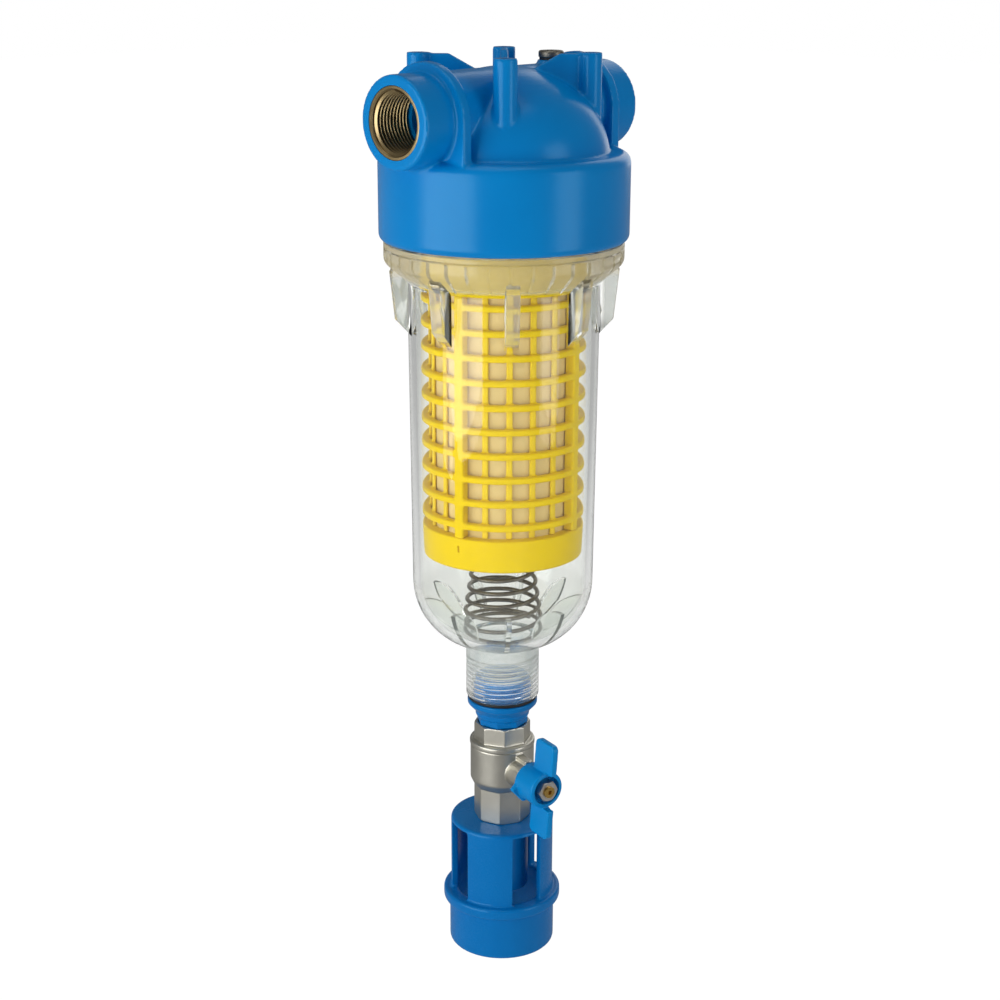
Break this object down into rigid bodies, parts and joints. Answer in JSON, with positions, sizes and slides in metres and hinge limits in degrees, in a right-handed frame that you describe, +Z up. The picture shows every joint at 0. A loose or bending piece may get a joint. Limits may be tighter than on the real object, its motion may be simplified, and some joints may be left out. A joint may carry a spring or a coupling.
{
  "type": "self cleaning water filter",
  "caption": "Upright inline water filter: blue head with side ports, clear screw-on bowl, sprung screen cartridge, drain ball valve with wing handle and an air-gap tundish.",
  "frame": {"origin": "centre of the bracket screw pattern, level with the tops of the bracket posts", "axes": "+Z up along the bowl axis, +X from the inlet port to the outlet port, -Y to the front"},
  "size_m": [0.1286, 0.109, 0.4197],
  "materials": {
    "head_plastic": "moulded, satin",
    "drain_plastic": "moulded, satin",
    "handle_plastic": "moulded, satin",
    "clear_plastic": "clear, polished",
    "cage_plastic": "moulded",
    "screen_net": "fine woven net",
    "port_brass": "machined",
    "stem_brass": "machined",
    "nickel_plate": "satin nickel plate",
    "ball_chrome": "polished",
    "nut_steel": "zinc plated",
    "spring_steel": "drawn wire",
    "black_rubber": "moulded rubber",
    "white_seat": "turned seat ring"
  },
  "bodies": {
    "head": {"head": "head_plastic", "inlet_insert": "port_brass", "outlet_insert": "port_brass", "vent_plug": "nickel_plate", "vent_seal": "black_rubber"},
    "bowl_seal": {"bowl_seal": "black_rubber"},
    "bowl": {"bowl": "clear_plastic", "drain_nipple": "drain_plastic", "nipple_seal": "black_rubber", "spring": "spring_steel", "valve_end": "nickel_plate", "valve_body": "nickel_plate", "upper_seat": "white_seat", "lower_seat": "white_seat", "tundish": "drain_plastic"},
    "valve_handle": {"ball": "ball_chrome", "stem": "stem_brass", "stem_seals": "black_rubber", "handle": "handle_plastic", "handle_nut": "nut_steel"},
    "cartridge": {"cartridge_cage": "cage_plastic", "filter_screen": "screen_net", "core_tube": "cage_plastic", "top_cap": "cage_plastic", "bottom_cap": "cage_plastic", "spigot_seal": "black_rubber"}
  },
  "joints": [
    {"name": "bowl_drop", "type": "slide", "parent": "head", "child": "bowl_seal", "axis": [0, 0, -1], "range_m": [0, 0.018]},
    {"name": "bowl_turn", "type": "hinge", "parent": "bowl_seal", "child": "bowl", "pos_m": [0, 0, -0.1], "axis": [0, 0, -1], "range_deg": [0, 1080]},
    {"name": "cartridge_slide", "type": "slide", "parent": "bowl", "child": "cartridge", "axis": [0, 0, -1], "range_m": [0, 0.01], "stiffness_N_per_m": 1200, "springref_m": -0.01, "deforming": ["spring"]},
    {"name": "valve_turn", "type": "hinge", "parent": "bowl", "child": "valve_handle", "pos_m": [0, 0, -0.32785], "axis": [0.225, 0.9744, 0], "range_deg": [0, 90]}
  ],
  "couplings": [
    {"joint": "bowl_drop", "follows": "bowl_turn", "m_per_rad": 0.000954}
  ]
}
